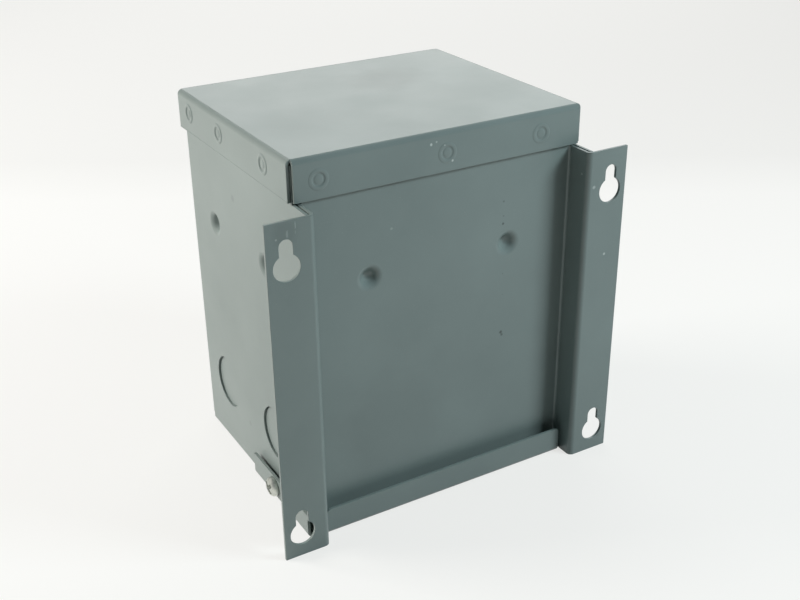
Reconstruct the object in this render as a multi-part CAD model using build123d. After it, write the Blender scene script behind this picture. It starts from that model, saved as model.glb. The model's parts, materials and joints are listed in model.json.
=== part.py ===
from build123d import *
import math
import os

# Wall-mounted buck boost transformer in a folded steel case, potted above a wiring compartment.
# The front faces -Y, the wall is behind it at +Y, and it stands on its bottom at z = 0.
# The origin is on that bottom, under the middle of the case from front to wall.

# Sheet steel of the case
sheet = 1.5                 # thickness of every folded piece
bend = 1.2                  # inside radius of every fold
weld_fit = 0.2              # between sheets that are spot welded
slide_fit = 0.3             # around the removable cover

# Core and coil, which set the inside of the case
leg = 44.5                  # width of the core's middle leg
stack = 57.0                # depth of the lamination stack
side_room = 7.55            # core to the case's side wall
coil_room = 11.1            # coil former's rim to the front wall and to the rear panel
head_room = 8.25            # upper clamps to the underside of the lid

# Heights from the bottom up
compartment_height = 62.0   # wiring compartment, up to the floor of the potted part
lid_skirt = 19.3            # drop of the lid's skirts
lid_notch = 2.1             # open corner between two skirts

# Mounting hat at the back
wall_gap = 14.7             # rear panel to the wall
web_slit = 0.8              # web to the side wall beside it
flange_width = 23.5         # web to the flange's tip
bracket_drop = 0.8          # flange's top edge below the lid's skirt
keyhole_r = 6.35            # round part, clears a bolt's head
keyhole_slot_r = 3.2        # half the width of the slot above it
keyhole_rise = 9.8          # round part's centre to the slot's end centre
keyhole_inset = 9.3         # centre to the flange's tip
keyhole_low = 12.5          # lower centre above the bottom
keyhole_drop = 21.1         # upper centre below the flange's top edge

# Dents, knockouts and weld marks
dimple_r = 7.0
dimple_tip_r = 2.6          # end of the boss behind the dent
dimple_depth = 4.2
side_dimple_pitch = 60.0
side_dimple_z = 129.2
side_dimple_shift = 1.4     # pair's middle in front of the core's middle
rear_dimple_pitch = 76.0
rear_dimple_z = 127.4
rear_dimple_shift = 1.2     # pair's middle towards +X
knockout_r = 14.1
knockout_pitch = 60.0
knockout_z = 36.5
knockout_shift = 2.4        # pair's middle in front of the core's middle
knockout_push = 1.1         # blank stands in from the wall's outer face
knockout_shear = 0.15       # blank to the hole that it was sheared from
knockout_tie_start = 45     # the tie, in degrees from +Y counted upwards
knockout_tie_span = 30
weld_mark_r = 4.0
weld_mark_depth = 0.3
side_weld_drop = 9.1        # lid's top face down to the marks
rear_weld_drop = 10.5
side_weld_marks = (16.0, 53.5, 104.0)   # from the lid's front edge
rear_weld_insets = (14.0, 78.5, 24.5)   # from the lid's +X edge twice, then from its -X edge

# Front and bottom cover
cover_head_gap = 6.5        # cover's top edge to the underside of the lid
lip_height = 14.2           # rear lip
lip_gap = 5.8               # rear lip to the rear panel
lip_inset = 2.2             # rear lip's end to the web
lip_corner = 2.5
tab_height = 13.0           # side tabs
tab_length = 63.0
tab_gap = 1.8               # side tab to the side wall
tab_tail = 10.0             # side tab's rear end to the wall
screw_z = 7.5
screw_from_tail = 37.8      # side tab's rear end to the screw
return_width = 12.0         # front wall left standing beside the compartment's opening

# Cover screw
screw_r = 2.4
screw_head_r = 5.2
screw_head_height = 3.8
screw_length = 11.0
recess_length = 6.6
recess_width = 1.6
recess_depth = 2.2
recess_turn = 45            # degrees
thread_fit = 0.05           # screws and studs in their threaded holes
hole_fit = 0.4              # screws in their plain holes

# Floor of the potted part
floor_wall = 10.0
window_end = 9.0            # beyond the last terminal
window_width = 14.0

# Core clamps and their bolts
clamp_thickness = 3.0
clamp_foot = 20.0
core_bolt_r = 3.0
sleeve_wall = 0.45
core_hole_fit = 0.1
bolt_head = 10.0            # across flats
bolt_head_height = 4.0
core_nut_height = 5.0
core_washer_r = 6.0
core_washer_thickness = 1.6
bolt_tail = 2.0

# Coil former and windings
former_wall = 1.5
former_fit = 0.3
former_overhang = 21.5      # rim beyond the stack's face
former_side_gap = 0.4       # rim to the outer leg
rim_corner = 2.0
primary_build = 5.0
secondary_build = 3.0
layer_insulation = 0.5
barrier_insulation_build = 0.6
outer_wrap_build = 0.6

# Terminal boards
board_land = 16.0           # board beyond the window's end, with its screw in the middle
board_edge = 6.0            # board beyond the window's side
board_thickness = 5.0
terminal_pitch = 22.0
terminal_count = 4
terminal_clear = 8.5        # row of terminals to the core's clamps
stud_r = 2.5
stud_length = 18.0
terminal_hex = 8.0          # across flats, studs and nuts
stud_head_height = 3.0
terminal_nut_height = 4.0
terminal_washer_r = 5.2
terminal_washer_thickness = 1.0
link_width = 9.0
link_thickness = 1.0
board_screw_r = 2.0
board_screw_head_r = 3.8
board_screw_head_height = 2.6
board_screw_grip = 3.0      # beyond the floor
lead_r = 2.0

# Earth lug
earth_x = 50.0
earth_screw_r = 2.0
earth_hex = 7.0
earth_head_height = 3.0
lug_length = 24.0
lug_width = 10.0
lug_tongue = 2.5
lug_barrel = 9.0
lug_wire_r = 2.8

# Compound
compound_gap = 3.5          # its surface to the lid

# Worked-out sizes
yoke = leg / 2
window_height = 1.5 * leg
core_width = 3 * leg
core_height = window_height + 2 * yoke
cavity_width = core_width + 2 * side_room
cavity_depth = stack + 2 * (former_overhang + coil_room)
case_width = cavity_width + 2 * sheet
case_depth = cavity_depth + 2 * sheet
outer_bend = bend + sheet
rear_overhang = weld_fit + sheet
front_overhang = 2 * (slide_fit + sheet)
lid_width = case_width + 2 * (weld_fit + sheet)
lid_depth = case_depth + rear_overhang + front_overhang
floor_z = compartment_height
core_z = floor_z + sheet + clamp_thickness
core_top = core_z + core_height
total_height = core_top + clamp_thickness + head_room + sheet
skirt_z = total_height - lid_skirt
bracket_top = skirt_z - bracket_drop
case_top = total_height - outer_bend

# Terminals and what holds them
terminal_from_core = stack / 2 + clamp_thickness + terminal_clear
window_length = (terminal_count - 1) * terminal_pitch + 2 * window_end
board_length = window_length + 2 * board_land
board_width = window_width + 2 * board_edge

# Places along Y
wall_y = (front_overhang + case_depth + wall_gap) / 2
panel_y = wall_y - wall_gap
lid_back = panel_y + rear_overhang
lid_front = -wall_y
cover_y = lid_front + sheet + slide_fit
case_front = cover_y + sheet + slide_fit
core_y = (case_front + panel_y) / 2
lip_y = panel_y + lip_gap + sheet
tab_back = wall_y - tab_tail
tab_front = tab_back - tab_length

# Places along X
side_x = case_width / 2
web_x = side_x - 2 * sheet - web_slit
flange_x = web_x + flange_width
keyhole_x = flange_x - keyhole_inset
tab_x = side_x + tab_gap + sheet
cover_half = side_x - outer_bend
lip_half = web_x - lip_inset

# The cover's bottom plate passes under the case here
underpass = sheet + slide_fit


def rounded_line(points, radii):
    """Edges along right-angled points, each inner corner rounded to its radius."""
    edges = []
    start = points[0]
    for before, corner, after, radius in zip(points, points[1:], points[2:], radii):
        into = (corner - before).normalized()
        out = (after - corner).normalized()
        arc_start = corner - into * radius
        arc_end = corner + out * radius
        edges.append(Line(start, arc_start))
        edges.append(TangentArc(arc_start, arc_end, tangent=into))
        start = arc_end
    edges.append(Line(start, points[-1]))
    return edges


def folded(points, side):
    """Face of a right-angled sheet profile; points run along one face, the metal lies left (1) or right (-1)."""
    path = [Vector(*point) for point in points]
    headings = [(b - a).normalized() for a, b in zip(path, path[1:])]
    normals = [Vector(-h.Y, h.X) * side for h in headings]
    corners = list(zip(path[1:-1], normals, normals[1:]))
    far = [path[0] + normals[0] * sheet]
    far += [corner + (before + after) * sheet for corner, before, after in corners]
    far.append(path[-1] + normals[-1] * sheet)
    turns = [(a.X * b.Y - a.Y * b.X) * side for a, b in zip(headings, headings[1:])]
    near_radii = [outer_bend if turn > 0 else bend for turn in turns]
    far_radii = [bend if turn > 0 else outer_bend for turn in turns]
    ends = [Line(path[0], far[0]), Line(path[-1], far[-1])]
    return make_face([*rounded_line(path, near_radii), *rounded_line(far, far_radii), *ends])


def block(x, y, z):
    """Box between pairs of X, Y and Z."""
    size = (x[1] - x[0], y[1] - y[0], z[1] - z[0])
    return Pos(x[0], y[0], z[0]) * Box(*size, align=(Align.MIN, Align.MIN, Align.MIN))


def post(radius, x, y, z):
    """Upright round bar between a pair of Z."""
    return Pos(x, y, z[0]) * Cylinder(radius, z[1] - z[0], align=(Align.CENTER, Align.CENTER, Align.MIN))


def hexagon(flats, height):
    """Hexagonal bar on the XY plane."""
    return extrude(RegularPolygon(flats / 2, 6, major_radius=False), height)


def ring(outer, inner, height):
    """Washer or sleeve on the XY plane."""
    return extrude(Circle(outer) - Circle(inner), height)


def channel(span, drop, length):
    """Folded channel, open below, with its top face at z = 0 and its folds along Y."""
    half = span / 2
    outline = folded([(-half, -drop), (-half, 0), (half, 0), (half, -drop)], -1)
    return extrude(Plane.XZ * outline, length / 2, both=True)


def pan(width, depth, drop):
    """Folded pan, open below, with a notched corner between each two walls."""
    sides = channel(width, drop, depth - 2 * lid_notch)
    ends = Rot(0, 0, 90) * channel(depth, drop, width - 2 * lid_notch)
    return sides + ends


def dimple_tools(plane):
    """Dent with a soft rim pressed in along the plane's normal: the metal that it adds behind, and the hollow."""
    turn = (dimple_r / 2, dimple_depth / 2)
    rim = TangentArc((dimple_r, 0), turn, tangent=(-1, 0))
    bowl = TangentArc((0, dimple_depth), turn, tangent=(1, 0))
    outline = make_face([Line((0, 0), (dimple_r, 0)), rim, bowl, Line((0, dimple_depth), (0, 0))])
    hollow = revolve(Plane.XZ * outline, Axis.Z)
    boss = Pos(0, 0, sheet + dimple_depth / 2) * Cone(dimple_r, dimple_tip_r, dimple_depth)
    return plane * boss, plane * hollow


def dimpled(wall, plane):
    """Wall with one dent pressed into it."""
    boss, hollow = dimple_tools(plane)
    return wall + boss - hollow


def arc_band(radius, width, start, span):
    """Flat band along an arc, angles in degrees."""
    inner = CenterArc((0, 0), radius - width / 2, start, span)
    outer = CenterArc((0, 0), radius + width / 2, start, span)
    return make_face([inner, outer, Line(inner @ 0, outer @ 0), Line(inner @ 1, outer @ 1)])


def side_dimple_planes():
    """Planes on the outside of the side walls, normals pointing in."""
    for side in (1, -1):
        for step in (-0.5, 0.5):
            y = core_y - side_dimple_shift + step * side_dimple_pitch
            yield Plane((side * side_x, y, side_dimple_z), x_dir=(0, 1, 0), z_dir=(-side, 0, 0))


def rear_dimple_planes():
    """Planes on the rear panel, normals pointing in."""
    for step in (-0.5, 0.5):
        x = rear_dimple_shift + step * rear_dimple_pitch
        yield Plane((x, panel_y, rear_dimple_z), x_dir=(1, 0, 0), z_dir=(0, -1, 0))


def with_knockouts(wall, side):
    """Wall with two knockouts: blanks sheared and pushed in, each held by one tie."""
    tie = arc_band(knockout_r, 4 * knockout_shear, knockout_tie_start, knockout_tie_span)
    for step in (-0.5, 0.5):
        y = core_y - knockout_shift + step * knockout_pitch
        plane = Plane((side * side_x, y, knockout_z), x_dir=(0, 1, 0), z_dir=(1, 0, 0))
        inwards = -side * sheet
        pushed = plane * Pos(0, 0, -side * knockout_push)
        wall -= extrude(plane * Circle(knockout_r), inwards)
        wall += extrude(pushed * Circle(knockout_r - knockout_shear), inwards)
        wall += extrude(pushed * tie, -side * (sheet - knockout_push))
    return wall


def make_lid():
    """Top lid: a pan with notched corners and the round marks of its spot welds."""
    middle = (lid_front + lid_back) / 2
    lid = Pos(0, middle, total_height) * pan(lid_width, lid_back - lid_front, lid_skirt)
    rim = ThreePointArc((weld_mark_r, 0), (0, -weld_mark_depth), (-weld_mark_r, 0))
    bowl = split(make_face([rim, Line((-weld_mark_r, 0), (weld_mark_r, 0))]), Plane.YZ)
    mark = revolve(Plane.XZ * bowl, Axis.Z)
    half = lid_width / 2
    side_z = total_height - side_weld_drop
    for from_front in side_weld_marks:
        for side in (1, -1):
            lid -= Pos(side * half, lid_front + from_front, side_z) * Rot(0, side * 90, 0) * mark
    rear_z = total_height - rear_weld_drop
    first, second, third = rear_weld_insets
    for x in (half - first, half - second, third - half):
        lid -= Pos(x, lid_back, rear_z) * Rot(-90, 0, 0) * mark
    return lid


def make_case_wrap():
    """Front wall and side walls in one sheet, with knockouts, dents and the compartment's opening."""
    back = wall_y - sheet - weld_fit
    corners = [(side_x, back), (side_x, case_front), (-side_x, case_front), (-side_x, back)]
    wrap = extrude(folded(corners, -1), case_top)
    wide = side_x + sheet
    front_foot = sheet + bend + slide_fit
    opening = side_x - return_width
    inside_front = case_front + sheet
    wrap -= block((-wide, wide), (panel_y, wall_y), (bracket_top, case_top))
    wrap -= block((-opening, opening), (case_front, inside_front), (0, floor_z))
    wrap -= block((-wide, wide), (case_front, case_front + outer_bend), (0, front_foot))
    wrap -= block((-wide, wide), (tab_front - slide_fit, tab_back + slide_fit), (0, underpass))
    for plane in side_dimple_planes():
        wrap = dimpled(wrap, plane)
    for side in (1, -1):
        wrap = with_knockouts(wrap, side)
    screw_y = tab_back - screw_from_tail
    wrap -= Pos(0, screw_y, screw_z) * Rot(0, 90, 0) * Cylinder(screw_r + thread_fit, 2 * wide)
    return wrap


def keyhole():
    """Keyhole outline round its lower centre, in the XY plane with the slot up +Y."""
    slot = Pos(0, keyhole_rise / 2) * Rectangle(2 * keyhole_slot_r, keyhole_rise)
    return Circle(keyhole_r) + slot + Pos(0, keyhole_rise) * Circle(keyhole_slot_r)


def make_rear_panel():
    """Recessed rear panel, its two webs and the mounting flanges in one hat-shaped sheet."""
    face = [(-flange_x, wall_y), (-web_x, wall_y), (-web_x, panel_y)]
    face += [(web_x, panel_y), (web_x, wall_y), (flange_x, wall_y)]
    panel = extrude(folded(face, -1), bracket_top)
    flat = web_x - bend
    panel += block((-flat, flat), (panel_y - sheet, panel_y), (bracket_top, case_top))
    hem = web_x + sheet + web_slit / 2
    panel -= block((-hem, hem), (panel_y - 2 * sheet, tab_back + slide_fit), (0, underpass))
    for x in (-keyhole_x, keyhole_x):
        for z in (keyhole_low, bracket_top - keyhole_drop):
            plane = Plane((x, wall_y, z), x_dir=(1, 0, 0), z_dir=(0, -1, 0))
            panel -= extrude(plane * keyhole(), 2 * sheet)
    for plane in rear_dimple_planes():
        panel = dimpled(panel, plane)
    return panel


def cover_tab(side):
    """One upturned side tab with the strip of bottom plate that carries it."""
    root = cover_half - sheet
    outline = folded([(side * root, 0), (side * tab_x, 0), (side * tab_x, tab_height)], side)
    return extrude(Plane((0, tab_front, 0), x_dir=(1, 0, 0), z_dir=(0, -1, 0)) * outline, -tab_length)


def make_cover():
    """Front plate, bottom plate, rear lip and side tabs in one sheet."""
    top = total_height - sheet - cover_head_gap
    outline = folded([(cover_y, top), (cover_y, 0), (lip_y, 0), (lip_y, lip_height)], 1)
    cover = extrude(Plane.YZ * outline, cover_half, both=True)
    tail = (tab_back, lip_y + sheet)
    for side in (1, -1):
        x = sorted((side * lip_half, side * tab_x))
        cover -= block(x, tail, (-sheet, lip_height + sheet))
        corner = Plane((side * lip_half, lip_y, lip_height), x_dir=(-side, 0, 0), z_dir=(0, side, 0))
        cover -= extrude(corner * lip_corner_cut(), 2 * sheet, both=True)
        cover += cover_tab(side)
    screw_y = tab_back - screw_from_tail
    cover -= Pos(0, screw_y, screw_z) * Rot(0, 90, 0) * Cylinder(screw_r + hole_fit, 2 * tab_x + sheet)
    return cover


def lip_corner_cut():
    """What rounding takes off a corner; x runs inwards along the edge, y up, from the corner."""
    square = Pos(lip_corner / 2, -lip_corner / 2) * Rectangle(lip_corner, lip_corner)
    return square - Pos(lip_corner, -lip_corner) * Circle(lip_corner)


def pan_screw(head_radius, head_height, radius, length, tip):
    """Pan-head screw: its head sits on the XY plane and its shank points down."""
    rim = 0.45 * head_height
    crown = TangentArc((0, head_height), (head_radius, rim), tangent=(1, 0))
    tip_radius = max(radius - tip / 2, radius / 4)
    corners = [(0, head_height), (0, -length), (tip_radius, -length), (radius, tip - length)]
    corners += [(radius, 0), (head_radius, 0), (head_radius, rim)]
    outline = make_face([*(Line(a, b) for a, b in zip(corners, corners[1:])), crown])
    return revolve(Plane.XZ * outline, Axis.Z)


def cover_screw():
    """Cover screw with its cross recess."""
    recess = Box(recess_length, recess_width, 2 * recess_depth) + Box(recess_width, recess_length, 2 * recess_depth)
    screw = pan_screw(screw_head_r, screw_head_height, screw_r, screw_length, screw_r)
    return screw - Pos(0, 0, screw_head_height) * Rot(0, 0, recess_turn) * recess


def make_cover_screws():
    """The two screws that hold the cover, one through each side tab."""
    screw_y = tab_back - screw_from_tail
    return [Pos(side * tab_x, screw_y, screw_z) * Rot(0, side * 90, 0) * cover_screw() for side in (1, -1)]


def terminal_places():
    """Row side, X and Y of each terminal: primary row in front of the core, secondary row behind it."""
    for row in (-1, 1):
        for index in range(terminal_count):
            x = (index - (terminal_count - 1) / 2) * terminal_pitch
            linked = abs(x) < terminal_pitch
            yield row, x, core_y + row * terminal_from_core, linked


def board_screw_places():
    """X and Y of the screws that hold the terminal boards."""
    for row in (-1, 1):
        for side in (-1, 1):
            yield side * (window_length + board_land) / 2, core_y + row * terminal_from_core


def floor_windows():
    """Blocks that fill the floor's windows, one over each terminal board."""
    half = window_length / 2
    for row in (-1, 1):
        y = core_y + row * terminal_from_core
        yield block((-half, half), (y - window_width / 2, y + window_width / 2), (floor_z, floor_z + sheet))


def solid_floor():
    """Steel floor of the potted part, folded up at its edges, with its windows and no screw holes."""
    width = cavity_width - 2 * weld_fit
    depth = cavity_depth - 2 * weld_fit
    floor = Pos(0, core_y, floor_z) * Rot(180, 0, 0) * pan(width, depth, floor_wall)
    for window in floor_windows():
        floor -= window
    return floor


def make_floor_pan():
    """The floor with its threaded holes."""
    floor = solid_floor()
    for x, y in board_screw_places():
        floor -= post(board_screw_r + thread_fit, x, y, (floor_z, floor_z + sheet))
    return floor - post(earth_screw_r + thread_fit, -earth_x, core_y, (floor_z, floor_z + sheet))


def make_board(row):
    """Terminal board under the floor."""
    y = core_y + row * terminal_from_core
    half = board_length / 2
    deep = (floor_z - board_thickness, floor_z)
    board = block((-half, half), (y - board_width / 2, y + board_width / 2), deep)
    board = fillet(board.edges().filter_by(Axis.Z), 3)
    for side, x, place, _ in terminal_places():
        if side == row:
            board -= post(stud_r + thread_fit, x, place, deep)
    for x, place in board_screw_places():
        board -= post(board_screw_r + hole_fit, x, place, deep)
    return board


def make_studs():
    """Brass studs, heads above the boards."""
    shank = (floor_z - stud_length, floor_z)
    head = hexagon(terminal_hex, stud_head_height)
    return [post(stud_r, x, y, shank) + Pos(x, y, floor_z) * head for _, x, y, _ in terminal_places()]


def terminal_face(linked):
    """Height of the face that a terminal's washer bears on."""
    return floor_z - board_thickness - (link_thickness if linked else 0)


def make_terminal_washers():
    """One washer under each terminal nut."""
    washer = ring(terminal_washer_r, stud_r + thread_fit, terminal_washer_thickness)
    places = terminal_places()
    return [Pos(x, y, terminal_face(linked) - terminal_washer_thickness) * washer for _, x, y, linked in places]


def make_terminal_nuts():
    """One brass nut on each stud."""
    nut = hexagon(terminal_hex, terminal_nut_height) - Cylinder(stud_r + thread_fit, 3 * terminal_nut_height)
    drop = terminal_washer_thickness + terminal_nut_height
    return [Pos(x, y, terminal_face(linked) - drop) * nut for _, x, y, linked in terminal_places()]


def make_links():
    """Brass straps that join the middle two terminals of each row."""
    strap = SlotCenterToCenter(terminal_pitch, link_width)
    for step in (-0.5, 0.5):
        strap -= Pos(step * terminal_pitch, 0) * Circle(stud_r + thread_fit)
    strap = extrude(strap, link_thickness)
    z = floor_z - board_thickness - link_thickness
    return [Pos(0, core_y + row * terminal_from_core, z) * strap for row in (-1, 1)]


def make_board_screws():
    """Screws up through the boards into the floor."""
    under = floor_z - board_thickness
    length = board_thickness + sheet + board_screw_grip
    screw = pan_screw(board_screw_head_r, board_screw_head_height, board_screw_r, length, board_screw_r / 2)
    return [Pos(x, y, under) * Rot(180, 0, 0) * screw for x, y in board_screw_places()]


def make_leads(row):
    """Stiff sleeved leads from the coil former down to the studs."""
    reach = (floor_z + stud_head_height, former_z())
    return [post(lead_r, x, y, reach) for side, x, y, _ in terminal_places() if side == row]


def make_earth_screw():
    """Earth screw up through the lug, flush with the floor's upper face."""
    under = floor_z - lug_tongue
    head = Pos(0, 0, -earth_head_height) * hexagon(earth_hex, earth_head_height)
    return Pos(-earth_x, core_y, under) * (head + post(earth_screw_r, 0, 0, (0, lug_tongue + sheet)))


def make_earth_lug():
    """Aluminium lug: a flat tongue and a barrel with its wire hole and clamp screw hole."""
    half = lug_width / 2
    tail = lug_width / 2
    tongue = block((-tail, lug_length - tail), (-half, half), (-lug_tongue, 0))
    barrel_x = (lug_length - tail - lug_barrel, lug_length - tail)
    lug = tongue + block(barrel_x, (-half, half), (-lug_barrel, 0))
    middle = sum(barrel_x) / 2
    lug -= Pos(middle, 0, -lug_barrel / 2) * Rot(0, 90, 0) * Cylinder(lug_wire_r, 2 * lug_barrel)
    lug -= post(earth_screw_r, middle, 0, (-2 * lug_barrel, -lug_barrel / 2))
    lug -= post(earth_screw_r + hole_fit, 0, 0, (-lug_barrel, 0))
    return Pos(-earth_x, core_y, floor_z) * lug


def core_bolt_places():
    """X and Z of the four clamp bolts, in the middle of the core's corners."""
    for x in (-1, 1):
        for z in (core_z + yoke / 2, core_top - yoke / 2):
            yield x * (core_width - yoke) / 2, z


def bore_core(iron, heights):
    """Iron with the clamp bolts' holes between two heights."""
    radius = core_bolt_r + thread_fit + sleeve_wall + core_hole_fit
    for x, z in core_bolt_places():
        if heights[0] < z < heights[1]:
            iron -= Pos(x, core_y, z) * Rot(90, 0, 0) * Cylinder(radius, 2 * stack)
    return iron


def make_e_stack():
    """E laminations: lower yoke and three legs."""
    half = core_width / 2
    deep = (core_y - stack / 2, core_y + stack / 2)
    seam = core_top - yoke
    iron = block((-half, half), deep, (core_z, seam))
    for side in (-1, 1):
        window = sorted((side * leg / 2, side * (leg / 2 + yoke)))
        iron -= block(window, deep, (core_z + yoke, seam))
    return bore_core(iron, (core_z, seam))


def make_i_stack():
    """I laminations: the upper yoke."""
    half = core_width / 2
    deep = (core_y - stack / 2, core_y + stack / 2)
    seam = core_top - yoke
    return bore_core(block((-half, half), deep, (seam, core_top)), (seam, core_top))


def make_clamp(end, face):
    """Angle along one edge of the core: end is -1 below and 1 above, face is -1 in front and 1 behind."""
    half = core_width / 2
    edge = core_z if end < 0 else core_top
    plate_y = core_y + face * stack / 2
    plate = sorted((plate_y, plate_y + face * clamp_thickness))
    foot = sorted((plate_y + face * clamp_thickness, plate_y - face * clamp_foot))
    flat = sorted((edge, edge + end * clamp_thickness))
    upright = sorted((edge + end * clamp_thickness, edge - end * yoke))
    clamp = block((-half, half), plate, upright) + block((-half, half), foot, flat)
    for x, z in core_bolt_places():
        if abs(z - edge) < yoke:
            clamp -= Pos(x, core_y, z) * Rot(90, 0, 0) * Cylinder(core_bolt_r + hole_fit, 2 * core_width)
    return clamp


def clamp_faces():
    """Y of the clamps' outside faces, front and rear."""
    reach = stack / 2 + clamp_thickness
    return core_y - reach, core_y + reach


def make_core_bolts():
    """Clamp bolts through the core, heads in front."""
    front, back = clamp_faces()
    grip = back - front + 2 * core_washer_thickness + core_nut_height + bolt_tail
    bolt = hexagon(bolt_head, bolt_head_height) + post(core_bolt_r, 0, 0, (-grip, 0))
    head_y = front - core_washer_thickness
    return [Pos(x, head_y, z) * Rot(90, 0, 0) * bolt for x, z in core_bolt_places()]


def make_core_nuts():
    """Nuts at the back of the core."""
    back = clamp_faces()[1] + core_washer_thickness
    nut = hexagon(bolt_head, core_nut_height) - Cylinder(core_bolt_r + thread_fit, 3 * core_nut_height)
    return [Pos(x, back, z) * Rot(-90, 0, 0) * nut for x, z in core_bolt_places()]


def make_core_washers():
    """Washers under the bolts' heads and nuts."""
    front, back = clamp_faces()
    washer = ring(core_washer_r, core_bolt_r + hole_fit, core_washer_thickness)
    washers = [Pos(x, front, z) * Rot(90, 0, 0) * washer for x, z in core_bolt_places()]
    return washers + [Pos(x, back, z) * Rot(-90, 0, 0) * washer for x, z in core_bolt_places()]


def make_sleeves():
    """Insulating sleeves on the bolts, inside the iron."""
    inner = core_bolt_r + thread_fit
    sleeve = ring(inner + sleeve_wall, inner, stack)
    return [Pos(x, core_y + stack / 2, z) * Rot(90, 0, 0) * sleeve for x, z in core_bolt_places()]


def former_z():
    """Underside of the coil former."""
    return core_z + yoke + former_fit


def former_height():
    """Coil former from end to end."""
    return window_height - 2 * former_fit


def loop_outline(away):
    """Rounded rectangle this far away from the middle leg."""
    return RectangleRounded(leg + 2 * away, stack + 2 * away, away + former_fit)


def loop(inset, build):
    """Rounded rectangular band round the middle leg: inset from the leg's face, build outwards."""
    return loop_outline(inset + build) - loop_outline(inset)


def rim_outline():
    """Outside of the former's rims, which fill the core's windows."""
    return RectangleRounded(leg + 2 * (yoke - former_side_gap), stack + 2 * former_overhang, rim_corner)


def make_former():
    """Moulded coil former: a tube round the middle leg with a rim at each end."""
    tube = extrude(loop(former_fit, former_wall), former_height())
    rim = extrude(rim_outline() - loop_outline(former_fit), former_wall)
    return Pos(0, core_y, former_z()) * (tube + rim + Pos(0, 0, former_height() - former_wall) * rim)


def make_coil():
    """Windings and the insulation between them, from the former outwards."""
    layers = (
        ("primary_winding_inner", primary_build),
        ("primary_insulation", layer_insulation),
        ("primary_winding_outer", primary_build),
        ("winding_barrier", barrier_insulation_build),
        ("secondary_winding_inner", secondary_build),
        ("secondary_insulation", layer_insulation),
        ("secondary_winding_outer", secondary_build),
        ("coil_outer_wrap", outer_wrap_build),
    )
    low = former_z() + former_wall
    tall = former_height() - 2 * former_wall
    coil = {}
    inset = former_fit + former_wall
    for name, build in layers:
        coil[name] = Pos(0, core_y, low) * extrude(loop(inset, build), tall)
        inset += build
    return coil


def coil_build():
    """Thickness of the wound coil on its former."""
    return 2 * (primary_build + secondary_build + layer_insulation) + barrier_insulation_build + outer_wrap_build


def make_compound(parts):
    """Potting compound: fills the case round the core, the coil and everything that reaches into it."""
    half = cavity_width / 2
    ends = (case_front + sheet, panel_y - sheet)
    rim_z = floor_z + floor_wall
    fill = block((-half, half), ends, (rim_z, total_height - sheet - compound_gap))
    front_edges = fill.edges().filter_by(Axis.Z).sort_by(Axis.Y)[:2]
    fill = fillet(front_edges, bend)
    lining = weld_fit + sheet
    inside = (ends[0] + lining, ends[1] - lining)
    fill += block((lining - half, half - lining), inside, (floor_z + sheet, rim_z))
    fill -= solid_floor()
    for window in floor_windows():
        fill += window
    core_half = core_width / 2
    fill -= block((-core_half, core_half), (core_y - stack / 2, core_y + stack / 2), (core_z, core_top))
    low = former_z()
    coil = loop_outline(former_fit + former_wall + coil_build())
    fill -= Pos(0, core_y, low) * extrude(coil, former_height())
    for z in (low, low + former_height() - former_wall):
        fill -= Pos(0, core_y, z) * extrude(rim_outline(), former_wall)
    for name in ("core_bolts", "core_nuts", "terminal_studs", "board_screws", "primary_leads", "secondary_leads"):
        for piece in parts[name]:
            fill -= piece
    for height in ("lower", "upper"):
        for place in ("front", "rear"):
            fill -= parts[f"core_clamp_{height}_{place}"]
    front, back = clamp_faces()
    span = back - front + 2 * core_washer_thickness
    for x, z in core_bolt_places():
        fill -= Pos(x, core_y, z) * Rot(90, 0, 0) * Cylinder(core_washer_r, span)
    for plane in (*side_dimple_planes(), *rear_dimple_planes()):
        fill -= dimple_tools(plane)[0]
    return fill


def make_parts():
    """Every piece by its node's name; a list is a group of like pieces."""
    parts = {
        "top_lid": make_lid(),
        "case_wrap": make_case_wrap(),
        "rear_panel": make_rear_panel(),
        "wiring_cover": make_cover(),
        "cover_screws": make_cover_screws(),
        "floor_pan": make_floor_pan(),
        "primary_terminal_board": make_board(-1),
        "secondary_terminal_board": make_board(1),
        "terminal_studs": make_studs(),
        "terminal_washers": make_terminal_washers(),
        "terminal_nuts": make_terminal_nuts(),
        "terminal_links": make_links(),
        "board_screws": make_board_screws(),
        "primary_leads": make_leads(-1),
        "secondary_leads": make_leads(1),
        "earth_screw": make_earth_screw(),
        "earth_lug": make_earth_lug(),
        "e_laminations": make_e_stack(),
        "i_laminations": make_i_stack(),
        "core_bolts": make_core_bolts(),
        "core_nuts": make_core_nuts(),
        "core_washers": make_core_washers(),
        "bolt_sleeves": make_sleeves(),
        "coil_former": make_former(),
    }
    for end, height in ((-1, "lower"), (1, "upper")):
        for face, place in ((-1, "front"), (1, "rear")):
            parts[f"core_clamp_{height}_{place}"] = make_clamp(end, face)
    parts.update(make_coil())
    parts["potting_compound"] = make_compound(parts)
    return parts


def save(name, shape):
    """Write one node's STEP file."""
    pieces = shape if isinstance(shape, list) else [shape]
    solids = [solid for piece in pieces for solid in piece.solids()]
    whole = solids[0] if len(solids) == 1 else Compound(solids)
    export_step(whole, f"parts/{name}.step")


os.makedirs("parts", exist_ok=True)
for node, made in make_parts().items():
    save(node, made)
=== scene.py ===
import json
import math

import bmesh
import bpy
from bpy.props import FloatProperty, FloatVectorProperty, IntProperty, PointerProperty
from bpy.types import Operator, Panel, PropertyGroup
from mathutils import Matrix, Vector


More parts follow.
